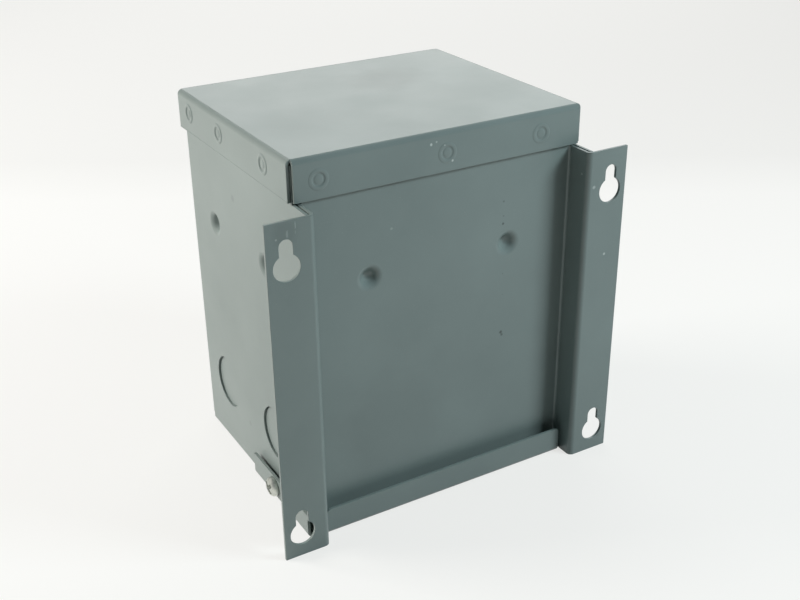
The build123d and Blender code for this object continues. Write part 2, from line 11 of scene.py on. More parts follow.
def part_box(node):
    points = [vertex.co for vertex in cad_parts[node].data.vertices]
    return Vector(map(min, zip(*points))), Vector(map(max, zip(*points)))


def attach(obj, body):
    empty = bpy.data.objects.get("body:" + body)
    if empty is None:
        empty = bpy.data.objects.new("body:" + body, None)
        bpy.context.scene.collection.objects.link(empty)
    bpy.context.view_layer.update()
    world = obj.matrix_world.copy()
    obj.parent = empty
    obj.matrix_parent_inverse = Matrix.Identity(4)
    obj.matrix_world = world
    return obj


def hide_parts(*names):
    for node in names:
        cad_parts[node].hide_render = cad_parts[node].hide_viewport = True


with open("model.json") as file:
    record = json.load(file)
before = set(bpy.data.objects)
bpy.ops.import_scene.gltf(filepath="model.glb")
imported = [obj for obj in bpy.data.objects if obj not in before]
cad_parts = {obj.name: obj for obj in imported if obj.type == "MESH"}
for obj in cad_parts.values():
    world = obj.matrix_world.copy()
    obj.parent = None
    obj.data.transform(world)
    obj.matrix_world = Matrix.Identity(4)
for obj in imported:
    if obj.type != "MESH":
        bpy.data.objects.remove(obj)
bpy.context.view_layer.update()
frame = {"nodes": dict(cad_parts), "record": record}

bl_info = {
    "name": "Potted Transformer in a Folded Case",
    "version": (1, 0, 0),
    "blender": (4, 5, 0),
    "location": "View3D > Sidebar > Transformer",
    "description": "Finishes the case, core, coil and terminals of a wall-mounted transformer",
    "category": "Add Mesh",
}

MM = 0.001

# Middles of the spot welds in the lid's skirts, in millimetres
LID_SIDE_WELDS = [(side * 77.5, y, 181.4) for side in (1, -1) for y in (-55.75, -18.25, 32.25)]
LID_REAR_WELDS = [(x, 58.75, 180.0) for x in (63.5, -1.0, -53.0)]

# A weld's middle is a button, flattened to this share and sunk so many times as deep as the ring
BUTTON_FLATNESS = 0.23
BUTTON_SINK = 1.6
# The welds on the rear skirt are pressed flatter than those on the side skirts
REAR_WELD_HEIGHT = 0.55

# Middle of each cover screw's bearing face, in millimetres
COVER_SCREWS = [(79.1, 23.95, 7.5), (-79.1, 23.95, 7.5)]

# Pan head as shares of its radius and height, from the middle of its top down to the bearing face
HEAD_PROFILE = [
    (0.0, 1.0), (0.3, 0.985), (0.55, 0.93), (0.78, 0.8), (0.93, 0.6), (1.0, 0.36), (0.985, 0.06), (0.93, 0.0),
]
# Cross recess: arm and half width as shares of the head's radius, depth as one of its height, floor's taper
RECESS_ARM, RECESS_HALF, RECESS_DEEP, RECESS_TAPER = 0.8, 0.22, 0.7, 0.55

# Ends of each side skirt's lower edge, in millimetres
SKIRT_EDGES = [((side * 77.5, -69.65, 171.2), (side * 77.5, 56.65, 171.2)) for side in (1, -1)]

# Easing a CAD sheet: vertices joined within so many millimetres, faces flat within so many degrees,
# edges beveled from so many degrees, and the smallest flat face beside a dent in square millimetres
JOIN_WITHIN = 0.002
FLAT_WITHIN = 0.5
BEVEL_FROM = 32
DENT_FACET = 4

# Marks of handling, and one patch of painted shade among the grey smudges: centre and radius in millimetres,
# and how strong each is
DARK_SPECKS = [
    (-34.0, 57.05, 149.3, 0.6, 0.4), (-34.2, 57.05, 141.9, 0.5, 0.3), (-34.0, 57.05, 137.9, 0.7, 0.6),
    (-34.6, 57.05, 111.4, 0.4, 0.25), (-34.8, 57.05, 100.0, 0.4, 0.2), (-34.6, 57.05, 79.1, 0.9, 0.65),
    (-35.2, 57.05, 77.6, 0.7, 0.5),
]
PALE_CHIPS = [
    (7.6, 58.75, 185.3, 0.7, 0.8), (-3.7, 58.75, 175.9, 0.6, 0.8), (4.8, 58.75, 186.1, 0.5, 0.5),
    (0.6, 58.75, 183.9, 0.4, 0.5), (-85.6, 71.75, 115.6, 0.7, 0.7), (-76.2, 71.75, 152.6, 0.9, 0.5),
    (-72.0, 67.2, 158.9, 0.6, 0.5), (90.4, 71.75, 163.0, 0.5, 0.35), (27.5, 57.05, 149.0, 0.7, 0.25),
]
# Grey smudges; the wide last one, low on the rear panel's +X half, is painted shade, not a smudge
GREY_SMUDGES_AND_SHADE = [
    (75.8, -10.5, 151.1, 2.0, 0.45), (75.8, -11.0, 24.8, 1.6, 0.45), (-20.0, -30.0, 190.5, 22.0, 0.35),
    (86.0, 71.75, 165.0, 6.0, 0.4), (30.0, 57.05, 45.0, 30.0, 0.2),
]
# Scratches down the flange over a keyhole: X, lower and upper Z, half width in millimetres, and strength
SCRATCHES = [(81.4, 166.2, 169.4, 0.25, 0.5), (81.5, 163.9, 165.4, 0.2, 0.3), (85.3, 162.8, 166.2, 0.5, 0.35)]
# The flanges' wall side lies beyond this Y, in millimetres
FLANGE_FROM = 70.0


def linear(colour):
    """Linear RGBA of an sRGB hex colour; a colour property is linear already."""
    if not isinstance(colour, str):
        return tuple(colour)
    parts = [int(colour[i:i + 2], 16) / 255 for i in (1, 3, 5)]
    return (*(c / 12.92 if c <= 0.04045 else ((c + 0.055) / 1.055) ** 2.4 for c in parts), 1.0)


def put(tree, kind, sockets, **settings):
    """Adds one node and gives its outputs; each socket takes a value or another node's output."""
    made = tree.nodes.new(kind)
    for name, value in settings.items():
        setattr(made, name, value)
    for name, value in sockets.items():
        if isinstance(value, bpy.types.NodeSocket):
            tree.links.new(value, made.inputs[name])
        else:
            made.inputs[name].default_value = value
    return made.outputs


def emptied(owner):
    """The node tree of a material or world, without its nodes."""
    owner.use_nodes = True
    owner.node_tree.nodes.clear()
    return owner.node_tree


def new_finish(name, shader_values):
    """An empty material with its Principled shader and Object coordinates."""
    finish = bpy.data.materials.new(name)
    tree = emptied(finish)
    shader = put(tree, "ShaderNodeBsdfPrincipled", shader_values)["BSDF"]
    put(tree, "ShaderNodeOutputMaterial", {"Surface": shader})
    return finish, tree, shader, put(tree, "ShaderNodeTexCoord", {})["Object"]


def noise_of(tree, where, size_mm, detail=2.0, distortion=0.0):
    """Noise with cells of this size in millimetres."""
    cells = {"Vector": where, "Scale": 1000 / size_mm, "Detail": detail, "Distortion": distortion}
    return put(tree, "ShaderNodeTexNoise", cells)["Fac"]


def ranged(tree, mask, limits, ends):
    """The mask between two limits, stretched to two other ends."""
    return put(tree, "ShaderNodeMapRange", dict(enumerate((mask, *limits, *ends))))["Result"]


def two_tone(tree, mask, low, high, limits=(0.3, 0.7)):
    """Colour that goes from one to another as the mask goes through its limits."""
    colours = {6: linear(low), 7: linear(high), 0: ranged(tree, mask, limits, (0.0, 1.0))}
    return put(tree, "ShaderNodeMix", colours, data_type="RGBA")[2]


def overlay(tree, under, over, share):
    """A colour over another one, by a share from 0 to 1."""
    sockets = {6: under, 7: linear(over), 0: share}
    return put(tree, "ShaderNodeMix", sockets, data_type="RGBA")[2]


def calc(tree, operation, *values):
    """One Math node's value."""
    return put(tree, "ShaderNodeMath", dict(enumerate(values)), operation=operation)[0]


def vector_of(tree, x=0.0, y=0.0, z=0.0):
    """A vector of three values or sockets."""
    return put(tree, "ShaderNodeCombineXYZ", {"X": x, "Y": y, "Z": z})[0]


def strongest(tree, masks):
    """The highest of several masks."""
    total = masks[0]
    for mask in masks[1:]:
        total = calc(tree, "MAXIMUM", total, mask)
    return total


def dress(tree, shader, colour, roughness=None, height=None, deep_mm=0.0, strength=1.0):
    """Connects a finish's colour, roughness and bump to its shader."""
    sockets = shader.node.inputs
    tree.links.new(colour, sockets["Base Color"])
    if roughness is not None:
        tree.links.new(roughness, sockets["Roughness"])
    if height is not None:
        bump = put(tree, "ShaderNodeBump", {"Height": height, "Distance": deep_mm * MM, "Strength": strength})
        tree.links.new(bump["Normal"], sockets["Normal"])


def spots(tree, where, marks, ragged_mm):
    """Mask of round marks with ragged rims, each with its own strength."""
    noise = noise_of(tree, where, ragged_mm, 3.0)
    masks = []
    for x, y, z, radius, strength in marks:
        centre = (x * MM, y * MM, z * MM)
        away = put(tree, "ShaderNodeVectorMath", {0: where, 1: centre}, operation="DISTANCE")["Value"]
        rim = calc(tree, "MULTIPLY_ADD", noise, -radius * MM, 1.5 * radius * MM)
        masks.append(ranged(tree, calc(tree, "DIVIDE", away, rim), (1.15, 0.6), (0.0, strength)))
    return strongest(tree, masks)


def scratches(tree, where, marks):
    """Mask of short upright scratches on the flanges' wall side."""
    place = put(tree, "ShaderNodeSeparateXYZ", {"Vector": where})
    noise = noise_of(tree, where, 0.4)
    masks = []
    for x, low, high, half, strength in marks:
        across = calc(tree, "ABSOLUTE", calc(tree, "SUBTRACT", place["X"], x * MM))
        along = calc(tree, "ABSOLUTE", calc(tree, "SUBTRACT", place["Z"], (low + high) / 2 * MM))
        across = calc(tree, "DIVIDE", across, half * MM)
        along = calc(tree, "DIVIDE", along, (high - low) / 2 * MM)
        worst = calc(tree, "ADD", calc(tree, "MAXIMUM", across, along), noise)
        masks.append(ranged(tree, worst, (1.7, 1.0), (0.0, strength)))
    on_wall = calc(tree, "GREATER_THAN", place["Y"], FLANGE_FROM * MM)
    return calc(tree, "MULTIPLY", strongest(tree, masks), on_wall)


def baked_enamel():
    """Grey enamel, sprayed on steel and baked: semi-gloss, with a shallow orange peel and some marks."""
    look = bpy.context.scene.transformer_enamel
    finish, tree, shader, where = new_finish("baked_grey_enamel", {"IOR": 1.5, "Specular IOR Level": 0.5})
    colour = two_tone(tree, noise_of(tree, where, 62.5, 4.0), look.shade, look.light)
    dust = ranged(tree, noise_of(tree, where, 0.625), (0.66, 0.8), (0.0, 0.22))
    colour = overlay(tree, colour, "#B4BAB8", dust)
    # Grey smudges, and painted shade low on the rear panel's +X half
    colour = overlay(tree, colour, "#6E7876", spots(tree, where, GREY_SMUDGES_AND_SHADE, 16.667))
    colour = overlay(tree, colour, "#1B2222", spots(tree, where, DARK_SPECKS, 1.111))
    colour = overlay(tree, colour, "#D7DBD9", spots(tree, where, PALE_CHIPS, 1.4286))
    colour = overlay(tree, colour, "#B9C2C0", scratches(tree, where, SCRATCHES))
    cloud = noise_of(tree, where, 22.222, 5.0)
    gloss = ranged(tree, cloud, (0.3, 0.7), (look.gloss - 0.02, look.gloss + 0.04))
    # Orange peel of about 1.5 mm
    peel = noise_of(tree, where, 1.5385, 1.0)
    dress(tree, shader, colour, gloss, peel, look.peel_depth / MM)
    return finish


def zinc_plate():
    """Dull zinc plate on steel screws: a pale, slightly uneven metal without sharp reflections."""
    finish, tree, shader, where = new_finish("dull_zinc_plate", {"Metallic": 1.0})
    cloud = noise_of(tree, where, 2.381, 4.0)
    colour = two_tone(tree, cloud, "#C4C8C0", "#E4E6DE")
    dress(tree, shader, colour, ranged(tree, cloud, (0.3, 0.7), (0.4, 0.55)), cloud, 0.02, 0.6)
    return finish


def galvanised_sheet():
    """Hot-dip galvanised sheet: spangles of about 6 mm, each a slightly different grey."""
    finish, tree, shader, where = new_finish("galvanised_sheet", {"Metallic": 1.0})
    spangle = put(tree, "ShaderNodeTexVoronoi", {"Vector": where, "Scale": 1000 / 6.25})["Color"]
    tone = put(tree, "ShaderNodeSeparateColor", {"Color": spangle})[0]
    colour = two_tone(tree, tone, "#868B8D", "#B9BEC0", (0.0, 1.0))
    dress(tree, shader, colour, ranged(tree, tone, (0.0, 1.0), (0.38, 0.6)))
    return finish


def stacked_steel():
    """Varnished electrical steel: dark grey, sheets that differ a little, rust where the varnish is thin."""
    finish, tree, shader, where = new_finish("varnished_electrical_steel", {"Metallic": 0.7})
    # Stretched along X and Z, so that the tone changes from sheet to sheet through the stack
    across = put(tree, "ShaderNodeMapping", {"Vector": where, "Scale": (0.02, 1.0, 0.02)})["Vector"]
    colour = two_tone(tree, noise_of(tree, across, 1.111, 1.0), "#34373A", "#565A5E")
    rust = noise_of(tree, where, 11.111, 6.0)
    colour = overlay(tree, colour, "#5A3A22", ranged(tree, rust, (0.58, 0.75), (0.0, 0.5)))
    dress(tree, shader, colour, ranged(tree, rust, (0.0, 1.0), (0.35, 0.6)), rust, 0.03, 0.6)
    return finish


def enamelled_wire():
    """Enamelled copper wire: amber varnish over copper, darker where the dip has pooled."""
    finish, tree, shader, where = new_finish("enamelled_copper_wire", {"Metallic": 0.85, "Coat Weight": 0.5})
    dip = noise_of(tree, where, 8.333, 5.0)
    colour = two_tone(tree, dip, "#6B2E14", "#BF6A35", (0.32, 0.7))
    dress(tree, shader, colour, ranged(tree, dip, (0.0, 1.0), (0.22, 0.4)), dip, 0.03, 0.5)
    return finish


def fibrous(name, low, high, fibre_mm, roughness):
    """Paper, board or sleeving with drawn-out fibres about this far apart."""
    finish, tree, shader, where = new_finish(name, {"Roughness": roughness, "IOR": 1.5})
    drawn = put(tree, "ShaderNodeMapping", {"Vector": where, "Scale": (1.0, 1.0, 0.2)})["Vector"]
    strand = noise_of(tree, drawn, fibre_mm, 5.0, 0.8)
    dress(tree, shader, two_tone(tree, strand, low, high), None, strand, 0.05, 0.7)
    return finish


def moulded_nylon():
    """Injection-moulded nylon, off-white, with a fine spark-eroded texture."""
    finish, tree, shader, where = new_finish("moulded_nylon", {"Roughness": 0.48, "IOR": 1.53})
    colour = two_tone(tree, noise_of(tree, where, 33.333, 3.0), "#CFC9B6", "#E2DDCD")
    dress(tree, shader, colour, None, noise_of(tree, where, 0.5556), 0.03, 0.6)
    return finish


def sanded_resin():
    """Cast resin filled with silica sand: near black, grains of about 1 mm under a dull skin."""
    finish, tree, shader, where = new_finish("sand_filled_resin", {"IOR": 1.5})
    grains = put(tree, "ShaderNodeTexVoronoi", {"Vector": where, "Scale": 1000 / 1.0})["Distance"]
    colour = two_tone(tree, grains, "#33312D", "#161514", (0.1, 0.6))
    dress(tree, shader, colour, ranged(tree, grains, (0.0, 0.7), (0.5, 0.85)), grains, 0.25, 0.7)
    return finish


def turned_metal(name, low, high, roughness):
    """Turned or cut metal with fine tool marks across it."""
    finish, tree, shader, where = new_finish(name, {"Metallic": 1.0, "Roughness": roughness})
    cut = noise_of(tree, where, 1.6667, 4.0, 1.2)
    dress(tree, shader, two_tone(tree, cut, low, high), None, cut, 0.02, 0.6)
    return finish


FINISHES = {
    "grey_enamel": baked_enamel,
    "zinc_plated_steel": zinc_plate,
    "galvanised_steel": galvanised_sheet,
    "electrical_steel": stacked_steel,
    "potting_compound": sanded_resin,
    "insulation_board": lambda: fibrous("varnished_kraft_paper", "#9C7F4E", "#C6AC78", 0.9, 0.5),
    "former_plastic": moulded_nylon,
    "enamelled_copper": enamelled_wire,
    "lead_sleeving": lambda: fibrous("varnished_glass_sleeving", "#1C1C1E", "#3A3A3D", 0.7, 0.55),
    "terminal_board": lambda: fibrous("paper_phenolic_board", "#3A2013", "#5E3822", 1.4, 0.35),
    "terminal_brass": lambda: turned_metal("machined_brass", "#A98340", "#D6B268", 0.3),
    "earth_green": lambda: turned_metal("green_dyed_zinc", "#14502A", "#2B7A45", 0.38),
    "lug_aluminium": lambda: turned_metal("cut_aluminium", "#A9ADB0", "#D2D5D7", 0.35),
}
made_finishes = {}


def finish_for(slot):
    """The record slot's material, made once."""
    if slot not in made_finishes:
        made_finishes[slot] = FINISHES[slot]()
    return made_finishes[slot]


def paint_nodes(names):
    """Gives CAD nodes the finishes of their slots in the record."""
    slots = {part["node"]: part["material_slot"] for part in frame["record"]["subparts"]}
    for name in names:
        mesh = frame["nodes"][name].data
        mesh.materials.clear()
        mesh.materials.append(finish_for(slots[name]))


def linked(name, data):
    """A new object in the scene."""
    made = bpy.data.objects.new(name, data)
    bpy.context.scene.collection.objects.link(made)
    return made


def settled(draft):
    """The plain mesh that an object's modifiers make."""
    return bpy.data.meshes.new_from_object(draft.evaluated_get(bpy.context.evaluated_depsgraph_get()))


def plain_piece(name, mesh, slot, *nodes):
    """A finished mesh as a piece of the body, standing for these CAD nodes."""
    piece = linked(name, mesh)
    if not mesh.materials:
        mesh.materials.append(finish_for(slot))
    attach(piece, "root")
    if nodes:
        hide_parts(*nodes)
    return piece


def node_grown(name, tree, mesh, values, slot, *nodes):
    """Runs a Geometry Nodes tree on a mesh and keeps the result as a plain mesh."""
    seed = linked(name + "_seed", mesh)
    modifier = seed.modifiers.new(name, "NODES")
    modifier.node_group = tree
    for item in tree.interface.items_tree:
        if item.in_out == "INPUT" and item.name in values:
            modifier[item.identifier] = values[item.name]
    grown = settled(seed)
    grown.name = name
    bpy.data.objects.remove(seed)
    return plain_piece(name, grown, slot, *nodes)


def new_tree(name, numbers=(), **others):
    """A Geometry Nodes tree with a geometry input, named inputs and a geometry output."""
    tree = bpy.data.node_groups.new(name, "GeometryNodeTree")
    inputs = {"Geometry": "Geometry", **dict.fromkeys(numbers, "Float"), **others}
    for label, kind in inputs.items():
        tree.interface.new_socket(label, in_out="INPUT", socket_type="NodeSocket" + kind)
    tree.interface.new_socket("Geometry", in_out="OUTPUT", socket_type="NodeSocketGeometry")
    return tree, tree.nodes.new("NodeGroupInput").outputs


def close_tree(tree, geometry, material):
    """Ends a tree in realised instances with one material."""
    real = put(tree, "GeometryNodeRealizeInstances", {"Geometry": geometry})[0]
    painted = put(tree, "GeometryNodeSetMaterial", {"Geometry": real, "Material": material})[0]
    put(tree, "NodeGroupOutput", {"Geometry": painted})


def joined(tree, first, second):
    """Two geometries in one."""
    both = put(tree, "GeometryNodeJoinGeometry", {"Geometry": first})[0]
    tree.links.new(second, both.node.inputs[0])
    return both


def ring_of(tree, sides, radius):
    """A round curve with so many sides."""
    return put(tree, "GeometryNodeCurvePrimitiveCircle", {"Resolution": sides, "Radius": radius})[0]


def tube_of(tree, path, section, caps=True):
    """A section drawn along a curve."""
    swept = {"Curve": path, "Profile Curve": section, "Fill Caps": caps}
    return put(tree, "GeometryNodeCurveToMesh", swept)[0]


def facing_of(tree):
    """The direction that each point faces."""
    return put(tree, "GeometryNodeInputNamedAttribute", {"Name": "facing"}, data_type="FLOAT_VECTOR")[0]


def turned_copies(tree, points, shape, facing, size=(1.0, 1.0, 1.0)):
    """Copies of a shape on points, each turned to where its point faces."""
    turned = put(tree, "FunctionNodeAlignRotationToVector", {"Vector": facing}, axis="Z")[0]
    spread = {"Points": points, "Instance": shape, "Rotation": turned, "Scale": size}
    return put(tree, "GeometryNodeInstanceOnPoints", spread)[0]


def outward(places):
    """Facings along X, away from the case."""
    return [(math.copysign(1, place[0]), 0, 0) for place in places]


def places_mesh(name, places, facings):
    """Loose points in millimetres, each with the direction that it faces."""
    mesh = bpy.data.meshes.new(name)
    mesh.from_pydata([[c * MM for c in place] for place in places], [], [])
    facing = mesh.attributes.new("facing", "FLOAT_VECTOR", "POINT")
    for item, direction in zip(facing.data, facings):
        item.vector = direction
    return mesh


def length_prop(name, description, default_mm, least_mm=0.0, most_mm=10000.0):
    """A length, given in millimetres."""
    return FloatProperty(
        name=name, description=description, default=default_mm * MM, min=least_mm * MM, max=most_mm * MM,
        subtype="DISTANCE", precision=5)


def power_prop(name, description, watts):
    """A lamp's power."""
    return FloatProperty(name=name, description=description, default=watts, min=0.0, subtype="POWER")


def angle_prop(name, description, degrees):
    """An angle, given in degrees."""
    return FloatProperty(name=name, description=description, default=math.radians(degrees), subtype="ANGLE")


def colour_prop(name, description, colour):
    """A colour, given as sRGB hex."""
    return FloatVectorProperty(
        name=name, description=description, default=linear(colour), size=4, min=0.0, max=1.0, subtype="COLOR")


class CaseSizes(PropertyGroup):
    edge_ease: length_prop(
        "Edge Ease", "Rounding that the paint leaves on the sheets' cut edges", 0.18, 0.02, 0.5)
    weld_radius: length_prop("Weld Radius", "Radius of the ring round each spot weld", 4.0, 1.0)
    weld_bead: length_prop("Weld Bead", "Half the width of that ring's section", 1.1, 0.1)
    weld_rise: length_prop("Weld Rise", "Height of that ring above the sheet", 0.32, 0.02)
    weld_sink: length_prop("Weld Sink", "How far the ring's round section is sunk into the sheet", 0.25)
    button_radius: length_prop("Button Radius", "Raised middle of each spot weld", 2.2, 0.1)
    paint_bead: length_prop(
        "Paint Bead", "Radius of the bead of paint on the side skirts' lower edge", 0.3, 0.05)


class EnamelLook(PropertyGroup):
    shade: colour_prop("Shade", "Darker colour of the enamel", "#808C8A")
    light: colour_prop("Light", "Lighter colour of the enamel", "#8A9694")
    gloss: FloatProperty(
        name="Roughness", description="Middle roughness of the semi-gloss enamel",
        default=0.34, min=0.05, max=1.0, subtype="FACTOR")
    peel_depth: length_prop("Peel Depth", "Depth of the orange peel", 0.02, 0.0, 0.2)


class ScrewSizes(PropertyGroup):
    head_radius: length_prop("Head Radius", "Pan head's radius", 5.2, 1.0)
    head_height: length_prop("Head Height", "Pan head's height", 3.8, 0.5)
    thread_radius: length_prop("Thread Radius", "Outer radius of the thread", 2.4, 0.5)
    thread_pitch: length_prop("Thread Pitch", "From one thread to the next", 1.3, 0.3)
    length: length_prop("Length", "Shank's length", 11.0, 2.0)


class CoreSizes(PropertyGroup):
    # Real sheets are about 0.5 mm thick, which no view here would show, so they are drawn at 1 mm
    sheet_pitch: length_prop("Sheet Pitch", "From one sheet of the core to the next", 1.0, 0.3)
    sheet_gap: length_prop("Sheet Gap", "Varnish between two sheets", 0.08, 0.01)
    bolt_hole_radius: length_prop("Bolt Hole Radius", "Hole in each sheet for a bolt's sleeve", 3.6, 0.5)


class CoilSizes(PropertyGroup):
    leg_width: length_prop("Leg Width", "Core's middle leg", 44.5, 5.0)
    corner_ease: length_prop("Corner Ease", "Corner radius at the leg itself", 0.3)
    primary_build: length_prop("Primary Build", "Thickness of a primary winding", 5.0, 0.5)
    secondary_build: length_prop("Secondary Build", "Thickness of a secondary winding", 3.0, 0.5)
    # Real windings have finer wire in more layers, so these layers are drawn coarser
    primary_layers: IntProperty(
        name="Primary Layers", description="Layers of wire in a primary winding", default=4, min=1)
    secondary_layers: IntProperty(
        name="Secondary Layers", description="Layers of wire in a secondary winding", default=2, min=1)
    wire_share: FloatProperty(
        name="Wire Share", description="Wire's share of the room that one turn takes",
        default=0.96, min=0.3, max=1.0, subtype="FACTOR")


class StageLook(PropertyGroup):
    floor: colour_prop("Floor", "Colour of the floor", "#FAFAF8")
    # Painted shade: the paper further back is coloured darker, standing for a sweep that rises out of the
    # light
    sweep_shade: colour_prop("Sweep", "Colour of the paper further back", "#F4F4F2")
    back_power: power_prop("Back Lamp", "Power of the softbox behind the case", 11.0)
    side_power: power_prop("Side Lamp", "Power of the softbox beside it", 22.4)
    sheet_power: power_prop("Side Sheet", "Power of the wide sheet beside it that gloss mirrors", 4.6)
    fill_power: power_prop("Fill Lamp", "Power of the softbox on the wall side", 5.3)
    camera_azimuth: angle_prop("Camera Azimuth", "Angle round the case", 149.86)
    camera_elevation: angle_prop("Camera Elevation", "Angle above the floor", 26.376)
    camera_roll: angle_prop("Camera Roll", "Angle about the view", -0.69)
    camera_distance: length_prop("Camera Distance", "How far the camera is from its aim", 592.93, 50.0)
    camera_lens: FloatProperty(
        name="Lens", description="Focal length on a 36 mm sensor",
        default=50.71, min=1.0, subtype="DISTANCE_CAMERA")
    camera_aim: FloatVectorProperty(
        name="Aim", description="Point that the camera is turned to",
        default=(0.0, -10.55 * MM, 100.1 * MM), subtype="XYZ_LENGTH", precision=5)
    camera_shift: FloatVectorProperty(
        name="Side Step", description="Camera's step right and up from there",
        default=(13.835 * MM, -20.248 * MM), size=2, unit="LENGTH", precision=5)


class TRANSFORMER_OT_stage(Operator):
    """Pale floor, four softboxes, dim room and the camera"""
    bl_idname = "transformer.stage"
    bl_label = "Stage"

    def floor_finish(self, look):
        """White paper floor that keeps the soft shadow; far off it is painted a shade darker, standing for
        the shade where a paper sweep would rise, though the floor stays flat.
        """
        finish = bpy.data.materials.new("white_paper_floor")
        tree = emptied(finish)
        where = put(tree, "ShaderNodeTexCoord", {})["Object"]
        turn = {"Vector": where, "Rotation": (0.0, 0.0, -look.camera_azimuth)}
        turned = put(tree, "ShaderNodeMapping", turn)["Vector"]
        away = put(tree, "ShaderNodeSeparateXYZ", {"Vector": turned})["Y"]
        # Painted shade: far off, the paper turns to a darker colour instead of rising into shade
        colour = two_tone(tree, away, look.floor, look.sweep_shade, (0.36, 0.46))
        rays = put(tree, "ShaderNodeLightPath", {})
        # A little less light comes up from the paper than its seen white would give
        bounced = overlay(tree, colour, "#C8C8C6", rays["Is Diffuse Ray"])
        paper = put(tree, "ShaderNodeBsdfDiffuse", {"Color": bounced})[0]
        glow = put(tree, "ShaderNodeEmission", {"Color": colour, "Strength": 1.0})[0]
        seen = strongest(tree, [rays[f"Is {kind} Ray"] for kind in ("Camera", "Glossy", "Transmission")])
        share = calc(tree, "MULTIPLY", seen, 0.75)
        both = put(tree, "ShaderNodeMixShader", {0: share, 1: paper, 2: glow})[0]
        put(tree, "ShaderNodeOutputMaterial", {"Surface": both})
        return finish

    def light_of(self, tree, colour, strength):
        """The world's light in one colour."""
        return put(tree, "ShaderNodeBackground", {"Color": linear(colour), "Strength": strength})[0]

    def room(self):
        """Dim even room, white where a ray sees it directly or through glass."""
        world = bpy.data.worlds.new("pale_room")
        bpy.context.scene.world = world
        tree = emptied(world)
        rays = put(tree, "ShaderNodeLightPath", {})
        seen = calc(tree, "MAXIMUM", rays["Is Camera Ray"], rays["Is Transmission Ray"])
        dim = self.light_of(tree, "#C8E2E6", 0.04)
        glossy = self.light_of(tree, "#EEF2F4", 0.3)
        pale = self.light_of(tree, "#EEEEEC", 1.0)
        lit = put(tree, "ShaderNodeMixShader", {0: rays["Is Glossy Ray"], 1: dim, 2: glossy})[0]
        both = put(tree, "ShaderNodeMixShader", {0: seen, 1: lit, 2: pale})[0]
        put(tree, "ShaderNodeOutputWorld", {"Surface": both})

    def softbox(self, name, place, size, power, tint, mirrored):
        """Square area lamp turned to the middle of the case; gloss mirrors it or not."""
        lamp = bpy.data.lights.new(name, "AREA")
        lamp.shape = "SQUARE"
        lamp.size = size
        lamp.energy = power
        lamp.color = linear(tint)[:3]
        holder = linked(name, lamp)
        holder.location = place
        middle = Vector((0, 0, 0.1))
        holder.rotation_euler = (middle - Vector(place)).to_track_quat("-Z", "Y").to_euler()
        holder.visible_camera = False
        holder.visible_glossy = mirrored

    def camera(self, look):
        """Camera at the photograph's place."""
        azimuth, elevation, roll = look.camera_azimuth, look.camera_elevation, look.camera_roll
        flat = math.cos(elevation)
        back = Vector((math.sin(azimuth) * flat, -math.cos(azimuth) * flat, math.sin(elevation)))
        level = Vector((0, 0, 1)).cross(back).normalized()
        rise = back.cross(level)
        right = level * math.cos(roll) + rise * math.sin(roll)
        up = rise * math.cos(roll) - level * math.sin(roll)
        step_right, step_up = look.camera_shift
        lens = bpy.data.cameras.new("camera")
        lens.sensor_width = 36
        lens.lens = look.camera_lens
        lens.clip_start = 0.01
        holder = linked("camera", lens)
        holder.rotation_mode = "QUATERNION"
        holder.rotation_quaternion = Matrix((right, up, back)).transposed().to_quaternion()
        aim = Vector(look.camera_aim)
        holder.location = aim + right * step_right + up * step_up + back * look.camera_distance
        bpy.context.scene.camera = holder

    def execute(self, context):
        look = context.scene.transformer_stage
        context.scene.view_settings.view_transform = "Standard"
        mesh = bpy.data.meshes.new("floor")
        # Metres from the middle of the floor to its edge
        reach = 4
        corners = [(-reach, -reach, 0), (reach, -reach, 0), (reach, reach, 0), (-reach, reach, 0)]
        mesh.from_pydata(corners, [], [(0, 1, 2, 3)])
        mesh.materials.append(self.floor_finish(look))
        floor = linked("floor", mesh)
        self.room()
        self.softbox("softbox_behind", (-0.7, -1.25, 0.85), 1.5, look.back_power, "#FFFFFC", True)
        # The lamp beside the case is bright and small, so a wide dim sheet stands for it in reflections
        self.softbox("softbox_beside", (1.15, -0.75, 0.72), 0.7, look.side_power, "#FFFAF3", False)
        self.softbox("sheet_beside", (1.15, -0.75, 0.8), 1.5, look.sheet_power, "#FFFAF3", True)
        self.softbox("softbox_wall_side", (-0.5, 0.55, 0.66), 0.3, look.fill_power, "#EAFBFF", False)
        self.camera(look)
        return {"FINISHED"}


